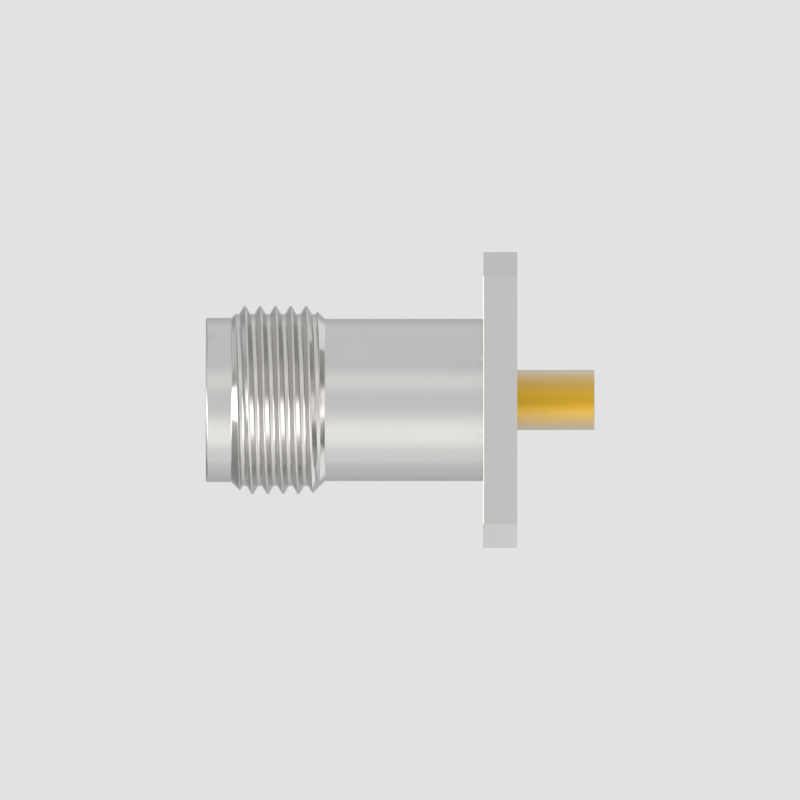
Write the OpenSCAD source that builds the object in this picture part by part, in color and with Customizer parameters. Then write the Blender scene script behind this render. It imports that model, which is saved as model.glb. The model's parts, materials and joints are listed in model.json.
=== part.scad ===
// Coaxial jack with a threaded coupling and a square panel flange.
// The axis lies along X, with the cable end towards +X and the mating end towards -X.
// The origin is the centre of the flange's rear face, where it meets the panel.
// All sizes are in millimetres and degrees.

/* [Mating end] */
// Outside diameter of the plain land ahead of the thread
land_d = 9.72; // [9.4:0.02:10]
// Length of the plain land
land_len = 1.52; // [1:0.02:3]
// Diameter of the socket's mouth
mouth_d = 8.4; // [8.3:0.02:8.6]
// Depth of the straight mouth
mouth_len = 3; // [2:0.1:4]
// Diameter of the socket bore behind the mouth
socket_d = 8.1; // [7.8:0.02:8.2]
// Depth from the front face to the shoulder that stops the plug
socket_depth = 8.4; // [7.5:0.1:10]
// Half angle of the taper between mouth and bore, which closes the plug's spring fingers
taper_angle = 15; // [10:1:45]

/* [Coupling thread] */
// Outside diameter of the thread
thread_d = 11.12; // [10.9:0.01:12]
// Distance from one turn to the next
thread_pitch = 0.907; // [0.7:0.001:1]
// Length of the threaded stretch with its end chamfers
thread_len = 5.53; // [4:0.01:8]
// Width of the flat on the thread's crest
crest_flat = 0.115; // [0.08:0.005:0.15]
// Width of the flat at the bottom of the thread's groove
root_flat = 0.24; // [0.15:0.005:0.3]
// Angle at which the groove enters the thread's front end
thread_start = 47; // [0:1:359]

/* [Barrel] */
// Diameter of the plain barrel between thread and flange
barrel_d = 9.6; // [9.4:0.05:10]
// Length of the plain barrel
barrel_len = 9.38; // [8:0.02:16]

/* [Flange] */
// Side of the square flange
flange_side = 17.5; // [17:0.1:22]
// Thickness of the flange
flange_t = 2; // [1.6:0.1:3]
// Leg of the cut across each corner
corner_cut = 1.4; // [0.5:0.1:2]
// Distance from the centre of a screw hole to the sides of the flange
hole_edge = 2.4; // [2:0.1:2.8]
// Diameter of the screw holes
hole_d = 2.6; // [2:0.1:3]

/* [Insulators] */
// Outside diameter of both insulators
insulator_d = 7; // [6:0.1:7.4]
// Diameter of the nose that stands in the socket
nose_d = 4.8; // [4.2:0.1:5.2]
// Length of the nose ahead of the shoulder
nose_len = 5; // [4:0.1:6]
// Length of the front insulator behind the shoulder
front_bead_len = 3.5; // [2:0.1:5]

/* [Centre contact] */
// Outside diameter of the contact
contact_d = 2.1; // [1.9:0.05:2.4]
// Diameter of the hole for the plug's pin
pin_hole_d = 1.35; // [1.2:0.05:1.5]
// Depth of the hole for the plug's pin
pin_hole_len = 5; // [4:0.1:6]
// Number of saw cuts across the mouth
slot_cuts = 2; // [1:1:3]
// Width of each saw cut
slot_w = 0.2; // [0.1:0.02:0.3]
// Depth of each saw cut
slot_len = 3; // [1.5:0.1:4]
// Diameter of the shoulder that the insulators trap
shoulder_d = 3; // [2.6:0.1:4]
// Length of that shoulder
shoulder_len = 0.6; // [0.4:0.1:1]
// Diameter of the hole for the cable's conductor
conductor_hole_d = 0.6; // [0.5:0.05:1]
// Depth of the hole for the cable's conductor
conductor_hole_len = 2; // [1.5:0.1:2.5]
// How far the contact's mouth lies behind the end of the nose
contact_recess = 0.1; // [0:0.05:0.5]

/* [Cable sleeve] */
// Outside diameter of the sleeve
sleeve_d = 3.55; // [3:0.05:4.2]
// Length of the sleeve behind the flange
sleeve_len = 4.57; // [3:0.01:8]
// Diameter of the hole for the cable's jacket
cable_hole_d = 2.25; // [2:0.05:2.6]
// Diameter of the hole that lets the cable's core through
core_hole_d = 1.7; // [1.4:0.05:1.9]
// Length of that hole, at whose end the cable's jacket stops
core_hole_len = 1.6; // [1:0.1:2.5]
// Thickness of the collar that holds the sleeve in the body
collar_len = 1; // [0.6:0.1:1.5]

/* [Walls, edges and fits] */
// Thickness of the wall that closes the body behind the collar
rear_wall = 2; // [1.5:0.1:3]
// Thickness of insulator between the contact's end and the collar
end_wall = 0.8; // [0.5:0.1:1.2]
// Bevel on the outer edges
edge_break = 0.06; // [0.04:0.02:0.2]
// Bevel on the rim of the mating end
rim_break = 0.12; // [0.06:0.02:0.2]
// Bevel where a hole opens
hole_break = 0.15; // [0.05:0.05:0.25]
// Gap all round between pieces that are pressed together
fit_gap = 0.01; // [0:0.005:0.03]
// Room round the contact's fingers, so that they can spread
finger_gap = 0.1; // [0.05:0.05:0.2]

/* [Hidden] */
$fn = 96;

// Places along the axis, from the flange's rear face at 0 towards the mating end
flange_z = -flange_t;
thread_z1 = flange_z - barrel_len;
thread_z0 = thread_z1 - thread_len;
front_z = thread_z0 - land_len;
stop_z = front_z + socket_depth;
nose_z = stop_z - nose_len;
split_z = stop_z + front_bead_len;
shoulder_z = split_z - shoulder_len;
seat_z = -rear_wall;
collar_z = seat_z - collar_len;
cable_z = collar_z + core_hole_len;
contact_z0 = nose_z + contact_recess;
contact_z1 = collar_z - end_wall;
taper_len = (mouth_d - socket_d) / 2 / tan(taper_angle);

// Screw holes at the corners of a square
hole_spacing = flange_side - 2 * hole_edge;

// The thread's flanks stand 60 degrees apart, which gives the groove its depth
thread_angle = 60;
thread_depth = (thread_pitch - crest_flat - root_flat) / 2 / tan(thread_angle / 2);
root_r = thread_d / 2 - thread_depth;
root_half = root_flat / 2;

// The groove is cut by a swept tool that stands a little proud of the crest and runs in and out
thread_steps = 48;
lead_turns = 0.6;
tool_proud = crest_flat / 2;
tool_r = thread_d / 2 + tool_proud;
tool_half = root_half + (tool_r - root_r) * tan(thread_angle / 2);
tool_section = [[root_r, -root_half], [tool_r, -tool_half], [tool_r, tool_half], [root_r, root_half]];
tool_steps = ceil((thread_len / thread_pitch + 2 * lead_turns) * thread_steps);

// Cutting tools reach this far past the faces they open
past = 1;

// Lays a piece turned about Z along the connector's axis
module on_axis() {
  rotate([0, 90, 0]) children();
}

// A solid of revolution from a list of [radius, place along the axis]
module turned(profile) {
  rotate_extrude() polygon(profile);
}

// A plain round stretch from z0 to z1, for a solid or a hole
module round_bar(d, z0, z1) {
  translate([0, 0, z0]) cylinder(d = d, h = z1 - z0);
}

// The outline of the flange, drawn in by an inset on every side and at every corner cut
module flange_outline(inset = 0) {
  half = flange_side / 2 - inset;
  cut = corner_cut - inset * (2 - sqrt(2));
  polygon([
    for (quarter = [0 : 3], end = [[half, cut - half], [half, half - cut]])
      [end[0] * cos(90 * quarter) - end[1] * sin(90 * quarter),
       end[0] * sin(90 * quarter) + end[1] * cos(90 * quarter)]
  ]);
}

// The square flange, with a bevel round its front face
module flange_plate() {
  translate([0, 0, flange_z]) hull() {
    linear_extrude(flange_t) flange_outline(edge_break);
    translate([0, 0, edge_break]) linear_extrude(flange_t - edge_break) flange_outline();
  }
}

// One screw hole with a bevel at both ends
module screw_hole() {
  r = hole_d / 2;
  turned([
    [0, flange_z - past], [r + hole_break + past, flange_z - past], [r, flange_z + hole_break],
    [r, -hole_break], [r + hole_break + past, past], [0, past]
  ]);
}

module screw_holes() {
  for (x = [-1, 1], y = [-1, 1])
    translate([x * hole_spacing / 2, y * hole_spacing / 2, 0]) screw_hole();
}

// Land, thread blank and barrel before the thread is cut
module turned_blank() {
  land_r = land_d / 2;
  crest_r = thread_d / 2;
  barrel_r = barrel_d / 2;
  turned([
    [0, front_z], [land_r - rim_break, front_z], [land_r, front_z + rim_break],
    [land_r, thread_z0], [crest_r, thread_z0 + crest_r - land_r],
    [crest_r, thread_z1 - crest_r + barrel_r], [barrel_r, thread_z1],
    [barrel_r, flange_z + flange_t / 2], [0, flange_z + flange_t / 2]
  ]);
}

// The tool's corners at one step of the helix
function tool_ring(step) =
  let (turn = step / thread_steps - lead_turns, angle = thread_start + 360 * turn)
  [for (p = tool_section) [p[0] * cos(angle), p[0] * sin(angle), thread_z0 + thread_pitch * turn + p[1]]];

// The helical tool that cuts the thread's groove
module thread_groove() {
  corners = len(tool_section);
  last = tool_steps * corners;
  points = [for (step = [0 : tool_steps]) each tool_ring(step)];
  sides = [
    for (step = [0 : tool_steps - 1], i = [0 : corners - 1])
      let (a = step * corners + i, b = step * corners + (i + 1) % corners)
      each [[a, b, b + corners], [a, b + corners, a + corners]]
  ];
  ends = [[for (i = [corners - 1 : -1 : 0]) i], [for (i = [0 : corners - 1]) last + i]];
  polyhedron(points = points, faces = concat(sides, ends));
}

// Mouth, taper, socket and the bore that holds the insulators
module socket_bores() {
  mouth_r = mouth_d / 2;
  socket_r = socket_d / 2;
  insulator_r = insulator_d / 2 + fit_gap;
  turned([
    [0, front_z - past], [mouth_r + rim_break + past, front_z - past], [mouth_r, front_z + rim_break],
    [mouth_r, front_z + mouth_len], [socket_r, front_z + mouth_len + taper_len],
    [socket_r, stop_z], [insulator_r, stop_z], [insulator_r, seat_z], [0, seat_z]
  ]);
}

module body() {
  color("silver") on_axis() difference() {
    union() {
      turned_blank();
      flange_plate();
    }
    thread_groove();
    socket_bores();
    round_bar(sleeve_d + 2 * fit_gap, seat_z - past, past);
    screw_holes();
  }
}

module front_insulator() {
  bead_r = insulator_d / 2;
  nose_r = nose_d / 2;
  color("white") on_axis() difference() {
    turned([
      [0, nose_z], [nose_r - hole_break, nose_z], [nose_r, nose_z + hole_break],
      [nose_r, stop_z], [bead_r, stop_z], [bead_r, split_z], [0, split_z]
    ]);
    round_bar(contact_d + 2 * fit_gap, nose_z - past, split_z);
    round_bar(contact_d + 2 * finger_gap, nose_z - past, contact_z0 + slot_len);
    round_bar(shoulder_d + 2 * fit_gap, shoulder_z, split_z + past);
  }
}

module rear_insulator() {
  color("white") on_axis() difference() {
    round_bar(insulator_d, split_z, collar_z);
    round_bar(contact_d + 2 * fit_gap, split_z - past, contact_z1);
    round_bar(core_hole_d, contact_z1 - past, collar_z + past);
  }
}

module centre_contact() {
  contact_r = contact_d / 2;
  shoulder_r = shoulder_d / 2;
  pin_r = pin_hole_d / 2;
  color("gold") on_axis() difference() {
    turned([
      [0, contact_z0], [contact_r - edge_break, contact_z0], [contact_r, contact_z0 + edge_break],
      [contact_r, shoulder_z], [shoulder_r, shoulder_z], [shoulder_r, split_z],
      [contact_r, split_z], [contact_r, contact_z1], [0, contact_z1]
    ]);
    turned([
      [0, contact_z0 - past], [pin_r + hole_break + past, contact_z0 - past],
      [pin_r, contact_z0 + hole_break], [pin_r, contact_z0 + pin_hole_len],
      [0, contact_z0 + pin_hole_len + pin_r]
    ]);
    round_bar(conductor_hole_d, contact_z1 - conductor_hole_len, contact_z1 + past);
    for (cut = [0 : slot_cuts - 1])
      rotate(180 * cut / slot_cuts)
        translate([-contact_d, -slot_w / 2, contact_z0 - past]) cube([2 * contact_d, slot_w, slot_len + past]);
  }
}

module cable_sleeve() {
  tube_r = sleeve_d / 2;
  cable_r = cable_hole_d / 2;
  collar_r = insulator_d / 2;
  color("goldenrod") on_axis() difference() {
    turned([
      [0, collar_z], [collar_r, collar_z], [collar_r, seat_z], [tube_r, seat_z],
      [tube_r, sleeve_len - edge_break], [tube_r - edge_break, sleeve_len], [0, sleeve_len]
    ]);
    round_bar(core_hole_d, collar_z - past, sleeve_len);
    turned([
      [0, cable_z], [cable_r, cable_z], [cable_r, sleeve_len - hole_break],
      [cable_r + hole_break + past, sleeve_len + past], [0, sleeve_len + past]
    ]);
  }
}

body();
front_insulator();
rear_insulator();
centre_contact();
cable_sleeve();
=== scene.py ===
# Looks of a coaxial jack with a threaded coupling and a square panel flange, in metres.
# The axis lies along X, with the cable end towards +X, and the camera sees it from the side.
import json
import math

import bmesh
import bpy
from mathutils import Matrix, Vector
from mathutils.geometry import tessellate_polygon


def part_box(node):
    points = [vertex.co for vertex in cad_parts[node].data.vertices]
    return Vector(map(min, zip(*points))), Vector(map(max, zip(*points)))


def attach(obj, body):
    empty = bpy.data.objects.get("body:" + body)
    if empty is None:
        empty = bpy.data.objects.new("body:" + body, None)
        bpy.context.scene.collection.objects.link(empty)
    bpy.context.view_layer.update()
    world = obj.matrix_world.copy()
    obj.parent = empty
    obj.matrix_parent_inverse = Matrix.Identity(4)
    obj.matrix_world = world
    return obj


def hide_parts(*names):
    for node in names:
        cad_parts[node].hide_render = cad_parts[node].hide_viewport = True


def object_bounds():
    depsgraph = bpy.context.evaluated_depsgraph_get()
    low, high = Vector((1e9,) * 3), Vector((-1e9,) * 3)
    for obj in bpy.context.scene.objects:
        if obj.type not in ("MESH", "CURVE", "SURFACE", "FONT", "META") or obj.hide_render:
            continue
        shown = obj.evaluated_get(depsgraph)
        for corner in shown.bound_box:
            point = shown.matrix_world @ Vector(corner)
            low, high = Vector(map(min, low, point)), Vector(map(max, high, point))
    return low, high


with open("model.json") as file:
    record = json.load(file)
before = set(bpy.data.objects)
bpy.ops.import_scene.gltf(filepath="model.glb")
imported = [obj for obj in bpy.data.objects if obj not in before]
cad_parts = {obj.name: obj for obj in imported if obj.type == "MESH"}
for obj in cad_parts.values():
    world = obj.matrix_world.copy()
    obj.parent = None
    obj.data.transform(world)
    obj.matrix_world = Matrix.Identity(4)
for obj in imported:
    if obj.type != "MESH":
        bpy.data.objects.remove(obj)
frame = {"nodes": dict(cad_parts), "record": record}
cad_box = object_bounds()

MM = 0.001
BODY = "root"
MOUNTS = {mount["name"]: mount["dims"] for mount in frame["record"]["mounts"]}

# Places along the axis, from the frame
FRONT_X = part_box("body")[0].x
REAR_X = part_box("body")[1].x
NOSE_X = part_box("front_insulator")[0].x
SPLIT_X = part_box("front_insulator")[1].x
CONTACT_X0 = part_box("centre_contact")[0].x
CONTACT_X1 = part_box("centre_contact")[1].x
COLLAR_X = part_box("cable_sleeve")[0].x
SLEEVE_END_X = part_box("cable_sleeve")[1].x

# Flange
FLANGE_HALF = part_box("body")[1].y
FLANGE_T = 2 * MM
FLANGE_X = REAR_X - FLANGE_T
CORNER_CUT = 1.4 * MM
HOLE_SPACING = MOUNTS["flange_holes"]["spacing_x_mm"] * MM
HOLE_R = MOUNTS["flange_holes"]["hole_r_mm"] * MM

# Turned outside of the body
LAND_R = 4.86 * MM
LAND_LEN = 1.52 * MM
BARREL_R = 4.8 * MM

# Coupling thread, whose groove is a trapezium
CREST_R = MOUNTS["coupling_thread"]["r_mm"] * MM
THREAD_X0 = FRONT_X + LAND_LEN
THREAD_X1 = THREAD_X0 + MOUNTS["coupling_thread"]["length_mm"] * MM
THREAD_LEAD = 0.2 * MM
PITCH = 0.907 * MM
CREST_FLAT = 0.115 * MM
ROOT_FLAT = 0.24 * MM
THREAD_START = math.radians(47)
HALF_FLANK_ANGLE = math.radians(30)
FLANK_RISE = 1 / math.tan(HALF_FLANK_ANGLE)
ROOT_R = CREST_R - (PITCH - CREST_FLAT - ROOT_FLAT) / 2 * FLANK_RISE
TO_FRONT = -1
TO_REAR = 1

# Socket
MOUTH_R = MOUNTS["mating_socket"]["r_mm"] * MM
MOUTH_LEN = 3 * MM
SOCKET_R = 4.05 * MM
SOCKET_DEPTH = 8.4 * MM
STOP_X = FRONT_X + SOCKET_DEPTH
TAPER_ANGLE = math.radians(15)
TAPER_LEN = (MOUTH_R - SOCKET_R) / math.tan(TAPER_ANGLE)
REAR_WALL = 2 * MM
SEAT_X = REAR_X - REAR_WALL

# Inner pieces and sleeve
BEAD_R = 3.5 * MM
NOSE_R = 2.4 * MM
CONTACT_R = 1.05 * MM
SHOULDER_R = 1.5 * MM
SHOULDER_LEN = 0.6 * MM
PIN_HOLE_R = MOUNTS["contact_socket"]["r_mm"] * MM
PIN_HOLE_LEN = 5 * MM
CONDUCTOR_HOLE_R = MOUNTS["conductor_hole"]["r_mm"] * MM
CONDUCTOR_HOLE_LEN = MOUNTS["conductor_hole"]["length_mm"] * MM
SLOT_W = 0.2 * MM
SLOT_LEN = 3 * MM
SLEEVE_R = 1.775 * MM
CABLE_HOLE_R = MOUNTS["cable_bore"]["r_mm"] * MM
CORE_HOLE_R = 0.85 * MM
CORE_HOLE_LEN = 1.6 * MM
CABLE_X = COLLAR_X + CORE_HOLE_LEN

# Edges and fits
EDGE_ROUND = 0.06 * MM
RIM_ROUND = 0.12 * MM
CREST_ROUND = 0.03 * MM
ROOT_ROUND = 0.1 * MM
FLANGE_BREAK = 0.015 * MM
HOLE_BREAK = 0.15 * MM
FIT_GAP = 0.01 * MM
FINGER_GAP = 0.1 * MM

# Fineness of the meshes
TURN_STEPS = 192
SMALL_TURN_STEPS = 96
HOLE_STEPS = 48
ARC_STEPS = 8
FLANK_ARC_STEPS = 2
MERGE = 2e-7
SHARP_ANGLE = math.radians(22)
STRAIGHT = math.radians(1)

# Material slots of the body
TURNED = 0
MILLED = 1

# Colours
STEEL_LIGHT = (0.61, 0.6, 0.588, 1)
STEEL_DARK = (0.585, 0.575, 0.563, 1)
GOLD_LIGHT = (0.65, 0.392, 0.034, 1)
GOLD_DARK = (0.62, 0.367, 0.03, 1)
GOLD_ASLANT = (0.75, 0.73, 0.69, 1)
FLUOROPOLYMER_LIGHT = (0.84, 0.84, 0.82, 1)
FLUOROPOLYMER_DARK = (0.78, 0.78, 0.76, 1)
FLOOR_COLOUR = (0.96, 0.96, 0.96, 1)
WHITE = (1, 1, 1, 1)

# Tool marks and mottle
RINGS_PER_METRE = 30000.0
RING_RADIUS_SHARE = 1.7
RING_DRIFT = 2.5
LINES_PER_METRE = 22000.0
LINE_DRIFT_PER_METRE = 500.0
MARK_DETAIL = 3.0
MARK_CRISPNESS = 0.6
MARK_LOW = 0.25
MARK_HIGH = 0.75
MARK_DEPTH = 0.002 * MM
TARNISH_PER_METRE = 350.0
TARNISH_DETAIL = 3.0
MOTTLE_PER_METRE = 900.0
MOTTLE_DETAIL = 4.0

# How far gold's gloss pales when it is seen aslant, and how far light soaks into the fluoropolymer
ASLANT_BLEND = 0.45
SOAK_SHARE = 0.2
SOAK_TINT = (1.0, 0.95, 0.9)
SOAK_DEPTH = 0.3 * MM

# Studio. A panel all round is wider than a turn, so that its soft edges don't show.
GROUND_LEVEL = 0.7605
ALL_ROUND = 400
FLOOR_HALF = 0.6

# The part's place in a picture that is 800 pixels square
PHOTO_SIDE = 800
PIXELS_PER_MM = 16.90
FRONT_PIXEL = 205.8
CAMERA_DISTANCE = 0.3


# Shapes

def corner_arc(before, here, after, radius, steps):
    """Points of an arc that rounds the corner at here, as far as its two sides allow."""
    back = before - here
    ahead = after - here
    half = back.angle(ahead) / 2
    reach = min(radius / math.tan(half), back.length / 2, ahead.length / 2)
    start = here + back.normalized() * reach
    end = here + ahead.normalized() * reach
    inwards = (back.normalized() + ahead.normalized()).normalized()
    centre = here + inwards * (reach / math.cos(half))
    spoke = start - centre
    across = Vector((-spoke.y, spoke.x))
    sweep = math.atan2(spoke.cross(end - centre), spoke.dot(end - centre))
    turns = [sweep * step / steps for step in range(steps + 1)]
    return [centre + spoke * math.cos(turn) + across * math.sin(turn) for turn in turns]


def round_corners(corners):
    """Turns (x, r, radius) corners into (x, r) points, with an arc where there is a radius."""
    places = [Vector((x, r)) for x, r, radius in corners]
    points = []
    for i, (x, r, radius) in enumerate(corners):
        if radius:
            after = places[(i + 1) % len(places)]
            points += corner_arc(places[i - 1], places[i], after, radius, ARC_STEPS)
        else:
            points.append(places[i])
    return points


def on_turn(x, r, angle):
    """The point at a place along the axis, a radius and an angle round it."""
    return Vector((x, r * math.sin(angle), -r * math.cos(angle)))


def turn_angles(steps):
    """The angles of one whole turn, which begins where the thread does."""
    return [THREAD_START + 2 * math.pi * step / steps for step in range(steps + 1)]


def circle(x, r, steps, centre=(0, 0)):
    """A loop of points round a centre in y and z."""
    offset = Vector((0, *centre))
    return [on_turn(x, r, angle) + offset for angle in turn_angles(steps)[:-1]]


def bridge(bm, rows, material=TURNED):
    """Fills the strips between rows of points that have the same length."""
    made = [[bm.verts.new(point) for point in row] for row in rows]
    for row, after in zip(made, made[1:]):
        for a, b, c, d in zip(row, row[1:], after[1:], after):
            bm.faces.new((a, b, c, d)).material_index = material


def lathe(bm, profile, steps=TURN_STEPS):
    """Turns a profile of (x, r) points about the axis."""
    bridge(bm, [[on_turn(x, r, angle) for x, r in profile] for angle in turn_angles(steps)])


def flat_face(bm, outline, holes):
    """A flat face with holes, from loops of points."""
    loops = [outline, *holes]
    verts = [bm.verts.new(point) for loop in loops for point in loop]
    for corners in tessellate_polygon(loops):
        bm.faces.new([verts[i] for i in corners])


def plain_mesh(bm, name):
    """The mesh as it was drawn."""
    mesh = bpy.data.meshes.new(name)
    bm.to_mesh(mesh)
    bm.free()
    return mesh


def finished_mesh(bm, name):
    """Joins the strips into one closed skin with its normals outwards."""
    bmesh.ops.remove_doubles(bm, verts=bm.verts, dist=MERGE)
    bmesh.ops.dissolve_degenerate(bm, edges=bm.edges, dist=MERGE)
    bmesh.ops.recalc_face_normals(bm, faces=bm.faces)
    return plain_mesh(bm, name)


def add_object(name, data):
    """Puts a mesh or a camera into the scene."""
    item = bpy.data.objects.new(name, data)
    bpy.context.scene.collection.objects.link(item)
    return item


def add_piece(mesh, node, materials):
    """Puts a mesh in the place of a node, with smooth turned faces and crisp edges."""
    mesh.shade_smooth()
    mesh.set_sharp_from_angle(angle=SHARP_ANGLE)
    for material in materials:
        mesh.materials.append(material)
    piece = add_object(mesh.name, mesh)
    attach(piece, BODY)
    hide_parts(node)


# Flange

def flange_outline(x, inset):
    """The eight corners of the flange's outline, drawn in by an inset on every side."""
    half = FLANGE_HALF - inset
    long = half - (CORNER_CUT - inset * (2 - math.sqrt(2)))
    side = [(half, -long), (half, long)]
    points = []
    for _ in range(4):
        points += [Vector((x, y, z)) for y, z in side]
        side = [(-z, y) for y, z in side]
    return points


def hole_centres():
    """The four screw holes' centres in y and z."""
    half = HOLE_SPACING / 2
    return [(y, z) for y in (-half, half) for z in (-half, half)]


def add_screw_hole(bm, centre):
    """The wall of one screw hole, with a chamfer at each end."""
    offset = Vector((0, *centre))
    profile = [
        (FLANGE_X, HOLE_R + HOLE_BREAK),
        (FLANGE_X + HOLE_BREAK, HOLE_R),
        (REAR_X - HOLE_BREAK, HOLE_R),
        (REAR_X, HOLE_R + HOLE_BREAK),
    ]
    angles = turn_angles(HOLE_STEPS)
    bridge(bm, [[on_turn(x, r, angle) + offset for x, r in profile] for angle in angles])


def add_flange_face(bm, x, inset, opening_r):
    """The front or the rear of the flange, open in the middle and at the screw holes."""
    holes = [circle(x, HOLE_R + HOLE_BREAK, HOLE_STEPS, centre) for centre in hole_centres()]
    flat_face(bm, flange_outline(x, inset), [circle(x, opening_r, TURN_STEPS), *holes])


def add_flange(bm):
    """The square plate with its front edge broken, its screw holes, and its two openings."""
    add_flange_face(bm, FLANGE_X, FLANGE_BREAK, BARREL_R)
    add_flange_face(bm, REAR_X, 0, SLEEVE_R + FIT_GAP)
    rings = [
        flange_outline(FLANGE_X, FLANGE_BREAK),
        flange_outline(FLANGE_X + FLANGE_BREAK, 0),
        flange_outline(REAR_X, 0),
    ]
    bridge(bm, [ring + ring[:1] for ring in rings], MILLED)
    for centre in hole_centres():
        add_screw_hole(bm, centre)


# Thread

def clamp(value, low, high):
    return max(low, min(high, value))


def blank_radius(x):
    """Radius of the threaded stretch before its groove is cut, with 45 degree chamfers."""
    return min(CREST_R, LAND_R + x - THREAD_X0, BARREL_R + THREAD_X1 - x)


def flank_top(root_x, side):
    """Where the flank that rises from an edge of the root, to front or rear, meets the blank."""
    to_crest = (CREST_R - ROOT_R) / FLANK_RISE
    to_front_chamfer = (LAND_R + root_x - THREAD_X0 - ROOT_R) / (FLANK_RISE - side)
    to_rear_chamfer = (BARREL_R + THREAD_X1 - root_x - ROOT_R) / (FLANK_RISE + side)
    return root_x + side * max(0, min(to_crest, to_front_chamfer, to_rear_chamfer))


def crest_corners(x0, x1):
    """The two ends of the crest between one groove and the next, where a chamfer takes over."""
    ends = (THREAD_X0 + CREST_R - LAND_R, THREAD_X1 - CREST_R + BARREL_R)
    places = [clamp(end, x0, x1) for end in ends]
    return [(x, blank_radius(x), FLANK_ARC_STEPS) for x in places]


def groove_corners(middle):
    """The four corners of the groove about a place on the axis.
    A groove that has run out has no width."""
    runs_in = THREAD_X0 + ROOT_R - LAND_R
    runs_out = THREAD_X1 - ROOT_R + BARREL_R
    front_root = clamp(middle - ROOT_FLAT / 2, runs_in, runs_out)
    rear_root = clamp(middle + ROOT_FLAT / 2, runs_in, runs_out)
    front_top = flank_top(front_root, TO_FRONT)
    rear_top = flank_top(rear_root, TO_REAR)
    return [
        (front_top, blank_radius(front_top), FLANK_ARC_STEPS),
        (front_root, ROOT_R, FLANK_ARC_STEPS),
        (rear_root, ROOT_R, FLANK_ARC_STEPS),
        (rear_top, blank_radius(rear_top), FLANK_ARC_STEPS),
    ]


def thread_column(turn):
    """The corners of the thread's profile at a share of a turn, with the steps of their arcs.
    Grooves that have run out are among them, so that every column has as many corners."""
    threaded = THREAD_X1 - THREAD_X0 - (ROOT_R - BARREL_R) + ROOT_FLAT / 2
    grooves = math.ceil(threaded / PITCH)
    column = [(THREAD_X0 - THREAD_LEAD, LAND_R, 0), (THREAD_X0, LAND_R, ARC_STEPS)]
    for groove in range(-1, grooves + 1):
        corners = groove_corners(THREAD_X0 + PITCH * (groove + turn))
        column += crest_corners(column[-1][0], corners[0][0])
        column += corners
    column += crest_corners(column[-1][0], THREAD_X1)
    column += [(THREAD_X1, BARREL_R, ARC_STEPS), (THREAD_X1 + THREAD_LEAD, BARREL_R, 0)]
    return column


def eased_column(column):
    """Rounds the ridges of a thread profile a little and its valleys more.
    Corners that fall together keep one arc."""
    places = [Vector((x, r)) for x, r, steps in column]
    points = places[:1]
    for i in range(1, len(places) - 1):
        here = places[i]
        steps = column[i][2]
        behind = next(place for place in places[i - 1::-1] if (place - here).length > MERGE)
        ahead = next(place for place in places[i + 1:] if (place - here).length > MERGE)
        if (here - places[i - 1]).length < MERGE:
            points += points[-1:] * (steps + 1)
        elif (here - behind).angle(ahead - here) < STRAIGHT:
            points += [here] * (steps + 1)
        else:
            valley = (here - behind).cross(ahead - here) > 0
            radius = ROOT_ROUND if valley else CREST_ROUND
            points += corner_arc(behind, here, ahead, radius, steps)
    return points + places[-1:]


def add_thread(bm):
    """The threaded stretch, whose groove moves on by one pitch in a turn."""
    rows = []
    for step, angle in enumerate(turn_angles(TURN_STEPS)):
        column = eased_column(thread_column(step / TURN_STEPS))
        rows.append([on_turn(x, r, angle) for x, r in column])
    bridge(bm, rows)


# Body

def add_socket_and_land(bm):
    """The inside from the sleeve's hole to the mouth, the rim, and the land before the thread."""
    lathe(bm, round_corners([
        (REAR_X, SLEEVE_R + FIT_GAP, 0),
        (SEAT_X, SLEEVE_R + FIT_GAP, 0),
        (SEAT_X, BEAD_R + FIT_GAP, 0),
        (STOP_X, BEAD_R + FIT_GAP, 0),
        (STOP_X, SOCKET_R, 0),
        (FRONT_X + MOUTH_LEN + TAPER_LEN, SOCKET_R, 0),
        (FRONT_X + MOUTH_LEN, MOUTH_R, 0),
        (FRONT_X, MOUTH_R, RIM_ROUND),
        (FRONT_X, LAND_R, RIM_ROUND),
        (THREAD_X0 - THREAD_LEAD, LAND_R, 0),
    ]))


def make_body(turned, milled):
    """The one turned and milled piece of steel."""
    bm = bmesh.new()
    add_socket_and_land(bm)
    add_thread(bm)
    lathe(bm, [(THREAD_X1 + THREAD_LEAD, BARREL_R), (FLANGE_X, BARREL_R)])
    add_flange(bm)
    add_piece(finished_mesh(bm, "jack_body"), "body", [turned, milled])


# Inner pieces and sleeve

def make_front_insulator(material):
    """The white bead, whose narrow nose stands round the contact's fingers."""
    bm = bmesh.new()
    profile = round_corners([
        (NOSE_X, CONTACT_R + FINGER_GAP, EDGE_ROUND),
        (NOSE_X, NOSE_R, HOLE_BREAK),
        (STOP_X, NOSE_R, 0),
        (STOP_X, BEAD_R, 0),
        (SPLIT_X, BEAD_R, 0),
        (SPLIT_X, SHOULDER_R + FIT_GAP, 0),
        (SPLIT_X - SHOULDER_LEN, SHOULDER_R + FIT_GAP, 0),
        (SPLIT_X - SHOULDER_LEN, CONTACT_R + FIT_GAP, 0),
        (CONTACT_X0 + SLOT_LEN, CONTACT_R + FIT_GAP, 0),
        (CONTACT_X0 + SLOT_LEN, CONTACT_R + FINGER_GAP, 0),
    ])
    lathe(bm, profile + profile[:1])
    add_piece(finished_mesh(bm, "nose_insulator"), "front_insulator", [material])


def dress_rear_insulator(material):
    """The rear bead is sealed inside, so it keeps its mesh and takes the material alone."""
    bead = frame["nodes"]["rear_insulator"]
    bead.data.materials.clear()
    bead.data.materials.append(material)


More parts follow.
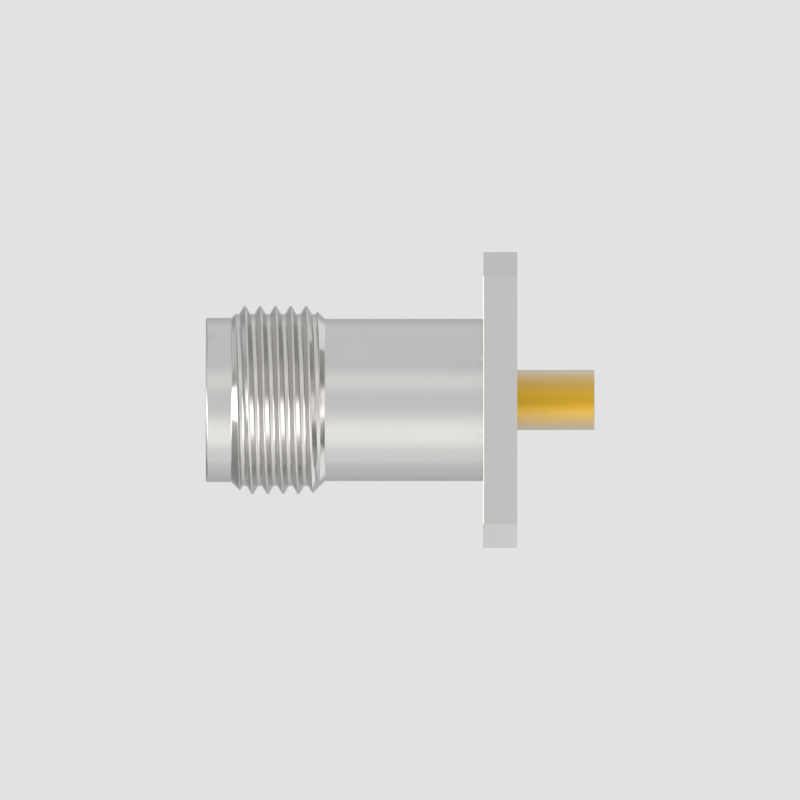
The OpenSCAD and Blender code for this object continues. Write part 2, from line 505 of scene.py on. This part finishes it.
def slot_cutter(name, size):
    """A block that saws one slot across the contact. Its middle lies at the contact's mouth."""
    bm = bmesh.new()
    bmesh.ops.create_cube(bm, size=1)
    bmesh.ops.scale(bm, vec=size, verts=bm.verts)
    bmesh.ops.translate(bm, vec=(CONTACT_X0, 0, 0), verts=bm.verts)
    return add_object(name, plain_mesh(bm, name))


def saw(mesh, cutters):
    """Cuts the blocks out of a mesh, and removes them."""
    blank = add_object("blank", mesh)
    for cutter in cutters:
        cut = blank.modifiers.new(cutter.name, "BOOLEAN")
        cut.object = cutter
        cut.solver = "EXACT"
    shown = blank.evaluated_get(bpy.context.evaluated_depsgraph_get())
    result = bpy.data.meshes.new_from_object(shown)
    for used in (blank, *cutters):
        bpy.data.objects.remove(used)
    return result


def make_contact(material):
    """The turned contact, sawn crosswise into four spring fingers."""
    bm = bmesh.new()
    lathe(bm, round_corners([
        (CONTACT_X0 + PIN_HOLE_LEN + PIN_HOLE_R, 0, 0),
        (CONTACT_X0 + PIN_HOLE_LEN, PIN_HOLE_R, 0),
        (CONTACT_X0, PIN_HOLE_R, HOLE_BREAK),
        (CONTACT_X0, CONTACT_R, EDGE_ROUND),
        (SPLIT_X - SHOULDER_LEN, CONTACT_R, 0),
        (SPLIT_X - SHOULDER_LEN, SHOULDER_R, 0),
        (SPLIT_X, SHOULDER_R, 0),
        (SPLIT_X, CONTACT_R, 0),
        (CONTACT_X1, CONTACT_R, 0),
        (CONTACT_X1, CONDUCTOR_HOLE_R, 0),
        (CONTACT_X1 - CONDUCTOR_HOLE_LEN, CONDUCTOR_HOLE_R, 0),
        (CONTACT_X1 - CONDUCTOR_HOLE_LEN, 0, 0),
    ]), SMALL_TURN_STEPS)
    blank = finished_mesh(bm, "contact_blank")
    right_across = 4 * CONTACT_R
    upright = slot_cutter("upright_slot", (2 * SLOT_LEN, SLOT_W, right_across))
    level = slot_cutter("level_slot", (2 * SLOT_LEN, right_across, SLOT_W))
    mesh = saw(blank, [upright, level])
    mesh.name = "spring_contact"
    add_piece(mesh, "centre_contact", [material])


def make_sleeve(material):
    """The gold sleeve with its collar, bored for the cable and its core."""
    bm = bmesh.new()
    profile = round_corners([
        (COLLAR_X, CORE_HOLE_R, 0),
        (COLLAR_X, BEAD_R, 0),
        (SEAT_X, BEAD_R, 0),
        (SEAT_X, SLEEVE_R, 0),
        (SLEEVE_END_X, SLEEVE_R, EDGE_ROUND),
        (SLEEVE_END_X, CABLE_HOLE_R, HOLE_BREAK),
        (CABLE_X, CABLE_HOLE_R, 0),
        (CABLE_X, CORE_HOLE_R, 0),
    ])
    lathe(bm, profile + profile[:1])
    add_piece(finished_mesh(bm, "solder_sleeve"), "cable_sleeve", [material])


# Materials

class Nodes:
    """A short way to add nodes to a tree. An input that is a socket is linked, any other is set."""

    def __init__(self, tree):
        self.tree = tree
        tree.nodes.clear()

    def add(self, kind, inputs=None, **settings):
        node = self.tree.nodes.new(kind)
        for name, value in settings.items():
            setattr(node, name, value)
        for name, value in (inputs or {}).items():
            self.feed(node.inputs[name], value)
        return node

    def feed(self, socket, value):
        if isinstance(value, bpy.types.NodeSocket):
            self.tree.links.new(value, socket)
        else:
            socket.default_value = value

    def math(self, operation, *values):
        node = self.add("ShaderNodeMath", operation=operation)
        for socket, value in zip(node.inputs, values):
            self.feed(socket, value)
        return node.outputs[0]

    def spread(self, value, low, high, interpolation="LINEAR", start=0.0, end=1.0):
        """Maps a value that runs from start to end onto low to high."""
        inputs = {
            "Value": value,
            "From Min": start,
            "From Max": end,
            "To Min": low,
            "To Max": high,
        }
        node = self.add("ShaderNodeMapRange", inputs, interpolation_type=interpolation)
        return node.outputs["Result"]

    def noise(self, vector, scale, detail=2.0, roughness=0.5):
        inputs = {"Vector": vector, "Scale": scale, "Detail": detail, "Roughness": roughness}
        return self.add("ShaderNodeTexNoise", inputs).outputs["Fac"]

    def blend(self, share, first, second):
        """A colour between two colours."""
        node = self.add("ShaderNodeMix", data_type="RGBA")
        colours = [socket for socket in node.inputs if socket.type == "RGBA"]
        self.feed(node.inputs["Factor"], share)
        self.feed(colours[0], first)
        self.feed(colours[1], second)
        return next(socket for socket in node.outputs if socket.type == "RGBA")

    def split(self, vector):
        return self.add("ShaderNodeSeparateXYZ", {"Vector": vector}).outputs

    def join(self, x, y, z):
        return self.add("ShaderNodeCombineXYZ", {"X": x, "Y": y, "Z": z}).outputs["Vector"]


def new_material(name):
    """An empty material, with its nodes."""
    material = bpy.data.materials.new(name)
    material.use_nodes = True
    return material, Nodes(material.node_tree)


def turning_marks(nodes, place):
    """Fine rings left by the lathe, which run round the axis on barrels, cones and end faces."""
    x, y, z = nodes.split(place)
    y_squared = nodes.math("POWER", y, 2.0)
    z_squared = nodes.math("POWER", z, 2.0)
    radius = nodes.math("SQRT", nodes.math("ADD", y_squared, z_squared))
    along = nodes.math("MULTIPLY_ADD", radius, RING_RADIUS_SHARE, x)
    ring = nodes.math("MULTIPLY", along, RINGS_PER_METRE)
    drift_y = nodes.math("MULTIPLY", nodes.math("DIVIDE", y, radius), RING_DRIFT)
    drift_z = nodes.math("MULTIPLY", nodes.math("DIVIDE", z, radius), RING_DRIFT)
    return nodes.noise(nodes.join(ring, drift_y, drift_z), 1.0, MARK_DETAIL, MARK_CRISPNESS)


def milling_marks(nodes, place):
    """Fine straight lines left by the cutter along the sides of the flange."""
    x, y, z = nodes.split(place)
    line = nodes.math("MULTIPLY", x, LINES_PER_METRE)
    drift_y = nodes.math("MULTIPLY", y, LINE_DRIFT_PER_METRE)
    drift_z = nodes.math("MULTIPLY", z, LINE_DRIFT_PER_METRE)
    return nodes.noise(nodes.join(line, drift_y, drift_z), 1.0, MARK_DETAIL, MARK_CRISPNESS)


def marked_finish(nodes, mark, smooth, rough, relief):
    """Shader inputs that follow the tool marks: roughness and relief."""
    bump = nodes.add("ShaderNodeBump", {"Height": mark, "Strength": relief, "Distance": MARK_DEPTH})
    return {
        "Roughness": nodes.spread(mark, smooth, rough, start=MARK_LOW, end=MARK_HIGH),
        "Normal": bump.outputs["Normal"],
    }


def metal(name, marks, light, dark, smooth, rough, relief, aslant=None):
    """A satin metal with tool marks and a faint drift in its colour.
    With a colour for aslant, its gloss turns to that colour where it is seen aslant."""
    material, nodes = new_material(name)
    place = nodes.add("ShaderNodeTexCoord").outputs["Object"]
    tarnish = nodes.noise(place, TARNISH_PER_METRE, TARNISH_DETAIL)
    finish = marked_finish(nodes, marks(nodes, place), smooth, rough, relief)
    finish["Metallic"] = 1.0
    colour = nodes.blend(tarnish, light, dark)
    shader = nodes.add("ShaderNodeBsdfPrincipled", {"Base Color": colour, **finish})
    if aslant:
        gloss = nodes.add("ShaderNodeBsdfPrincipled", {"Base Color": aslant, **finish})
        share = nodes.add("ShaderNodeLayerWeight", {"Blend": ASLANT_BLEND}).outputs["Facing"]
        layers = {0: share, 1: shader.outputs[0], 2: gloss.outputs[0]}
        shader = nodes.add("ShaderNodeMixShader", layers)
    nodes.add("ShaderNodeOutputMaterial", {"Surface": shader.outputs[0]})
    return material


def turned_steel():
    return metal(
        "turned_steel", turning_marks, STEEL_LIGHT, STEEL_DARK,
        smooth=0.12, rough=0.17, relief=0.12,
    )


def milled_steel():
    return metal(
        "milled_steel", milling_marks, STEEL_LIGHT, STEEL_DARK,
        smooth=0.14, rough=0.2, relief=0.12,
    )


def gold_plate():
    return metal(
        "gold_plate", turning_marks, GOLD_LIGHT, GOLD_DARK,
        smooth=0.32, rough=0.4, relief=0.1, aslant=GOLD_ASLANT,
    )


def white_fluoropolymer():
    """A waxy white plastic with a soft mottle and faint turning marks."""
    material, nodes = new_material("white_fluoropolymer")
    place = nodes.add("ShaderNodeTexCoord").outputs["Object"]
    mottle = nodes.noise(place, MOTTLE_PER_METRE, MOTTLE_DETAIL)
    mark = turning_marks(nodes, place)
    shader = nodes.add("ShaderNodeBsdfPrincipled", {
        "Base Color": nodes.blend(mottle, FLUOROPOLYMER_LIGHT, FLUOROPOLYMER_DARK),
        "Subsurface Weight": SOAK_SHARE,
        "Subsurface Radius": SOAK_TINT,
        "Subsurface Scale": SOAK_DEPTH,
        **marked_finish(nodes, mark, smooth=0.38, rough=0.52, relief=0.15),
    })
    nodes.add("ShaderNodeOutputMaterial", {"Surface": shader.outputs["BSDF"]})
    return material


# Studio

class Studio:
    """A room of soft panels, painted by direction, with angles in degrees.
    Azimuth 0 lies behind the camera, 90 towards the cable end, -90 towards the mating end."""

    def __init__(self, nodes, level):
        self.nodes = nodes
        direction = nodes.add("ShaderNodeTexCoord").outputs["Generated"]
        x, y, z = nodes.split(direction)
        towards_camera = nodes.math("MULTIPLY", y, -1.0)
        self.azimuth = nodes.math("DEGREES", nodes.math("ARCTAN2", x, towards_camera))
        self.elevation = nodes.math("DEGREES", nodes.math("ARCSINE", z))
        self.level = level

    def window(self, angle, middle, half, soft):
        """1 within half of the middle, 0 beyond it, with a soft edge."""
        off = self.nodes.math("ABSOLUTE", self.nodes.math("SUBTRACT", angle, middle))
        return self.nodes.spread(off, 0.0, 1.0, "SMOOTHSTEP", start=half + soft, end=half - soft)

    def panel(self, azimuth, width, elevation, height, soft, level, both_sides=False):
        """Lays a panel over what is there. One on both sides has a twin across the camera's gaze,
        so at azimuth 180 it has no seam straight behind the part."""
        round_about = self.nodes.math("ABSOLUTE", self.azimuth) if both_sides else self.azimuth
        across = self.window(round_about, azimuth, width / 2, soft)
        up = self.window(self.elevation, elevation, height / 2, soft)
        share = self.nodes.math("MULTIPLY", across, up)
        self.level = self.nodes.spread(share, self.level, level)


def hang_broad_panels(studio):
    """Even light from above, from the camera's side and from below."""
    studio.panel(azimuth=0, width=ALL_ROUND, elevation=90, height=80, soft=16, level=0.86)
    studio.panel(azimuth=0, width=130, elevation=8, height=80, soft=16, level=0.885)
    studio.panel(azimuth=0, width=ALL_ROUND, elevation=-80, height=24, soft=10, level=0.87)
    studio.panel(azimuth=0, width=ALL_ROUND, elevation=-90, height=18, soft=6, level=1.0)
    studio.panel(azimuth=6, width=124, elevation=-50, height=48, soft=18, level=1.27)
    studio.panel(azimuth=0, width=34, elevation=27, height=23, soft=12, level=1.05)


def hang_dark_screens(studio):
    """Screens behind the part and round its mating end, for the dark bands on flanks and chamfers.
    The last panel is a slit of light between two screens."""
    studio.panel(
        azimuth=180, width=92, elevation=-3, height=70, soft=20, level=0.53, both_sides=True,
    )
    studio.panel(azimuth=-100, width=124, elevation=62, height=36, soft=9, level=0.58)
    studio.panel(azimuth=-138, width=46, elevation=-66, height=16, soft=8, level=0.5)
    studio.panel(azimuth=-116, width=40, elevation=32, height=24, soft=8, level=0.75)
    studio.panel(azimuth=-129, width=86, elevation=1, height=36, soft=5, level=0.46)
    studio.panel(azimuth=-154, width=26, elevation=16, height=18, soft=6, level=0.41)
    studio.panel(azimuth=-108, width=26, elevation=-29, height=26, soft=6, level=0.46)
    studio.panel(azimuth=-140, width=54, elevation=-35, height=46, soft=9, level=0.34)
    studio.panel(azimuth=-121, width=28, elevation=-18, height=6, soft=2.5, level=0.95)


def hang_cable_end_panels(studio):
    """Pale panels at the cable end, two behind the part and one low before it."""
    studio.panel(azimuth=137, width=54, elevation=39, height=34, soft=5, level=1.06)
    studio.panel(azimuth=137, width=50, elevation=-37, height=26, soft=6, level=1.18)
    studio.panel(azimuth=34, width=24, elevation=-22, height=26, soft=7, level=1.25)


def hang_bright_strips(studio):
    """Strips low before the part and at its mating end, for white lines on flanks and chamfers."""
    studio.panel(azimuth=-29, width=16, elevation=-27, height=48, soft=11, level=4.2)
    studio.panel(azimuth=-80, width=10, elevation=17, height=18, soft=4, level=1.7)
    studio.panel(azimuth=-88, width=8, elevation=25, height=6, soft=3, level=1.2)
    studio.panel(azimuth=-88, width=8, elevation=-22, height=8, soft=4, level=1.2)
    studio.panel(azimuth=-65, width=26, elevation=-18, height=46, soft=4, level=1.5)
    studio.panel(azimuth=-74, width=7, elevation=-4, height=24, soft=3, level=4.0)
    studio.panel(azimuth=-81, width=9, elevation=-16, height=9, soft=3, level=2.6)
    studio.panel(azimuth=-106, width=16, elevation=-4, height=13, soft=3, level=1.8)
    studio.panel(azimuth=-91, width=14, elevation=-2.5, height=20, soft=2.5, level=4.1)


def light_studio():
    """Pale walls and soft panels light the part. The camera sees the ground without the panels."""
    world = bpy.data.worlds.new("studio")
    bpy.context.scene.world = world
    world.use_nodes = True
    nodes = Nodes(world.node_tree)
    studio = Studio(nodes, GROUND_LEVEL)
    hang_broad_panels(studio)
    hang_dark_screens(studio)
    hang_cable_end_panels(studio)
    hang_bright_strips(studio)
    seen = nodes.add("ShaderNodeLightPath").outputs["Is Camera Ray"]
    level = nodes.spread(seen, studio.level, GROUND_LEVEL)
    light = nodes.add("ShaderNodeBackground", {"Color": WHITE, "Strength": level})
    nodes.add("ShaderNodeOutputWorld", {"Surface": light.outputs[0]})


def lay_floor():
    """A plain pale floor under the flange. Panels below it light the part as well,
    so it casts no shadow and isn't mirrored in the metal."""
    bm = bmesh.new()
    bmesh.ops.create_grid(bm, x_segments=1, y_segments=1, size=FLOOR_HALF)
    bmesh.ops.translate(bm, vec=(0, 0, cad_box[0].z), verts=bm.verts)
    mesh = plain_mesh(bm, "floor")
    material, nodes = new_material("floor")
    shader = nodes.add("ShaderNodeBsdfDiffuse", {"Color": FLOOR_COLOUR})
    nodes.add("ShaderNodeOutputMaterial", {"Surface": shader.outputs[0]})
    mesh.materials.append(material)
    floor = add_object("floor", mesh)
    floor.visible_glossy = False
    floor.visible_shadow = False


# Camera

def place_camera():
    """Looks square at the side of the part, without perspective."""
    data = bpy.data.cameras.new("camera")
    data.type = "ORTHO"
    data.ortho_scale = PHOTO_SIDE / PIXELS_PER_MM * MM
    camera = add_object("camera", data)
    middle_x = FRONT_X + (PHOTO_SIDE / 2 - FRONT_PIXEL) / PIXELS_PER_MM * MM
    camera.location = (middle_x, -CAMERA_DISTANCE, 0)
    camera.rotation_euler = (math.radians(90), 0, 0)
    bpy.context.scene.camera = camera


gold = gold_plate()
fluoropolymer = white_fluoropolymer()

make_body(turned_steel(), milled_steel())
make_front_insulator(fluoropolymer)
dress_rear_insulator(fluoropolymer)
make_contact(gold)
make_sleeve(gold)

place_camera()
lay_floor()
light_studio()
bpy.context.scene.view_settings.view_transform = "Standard"
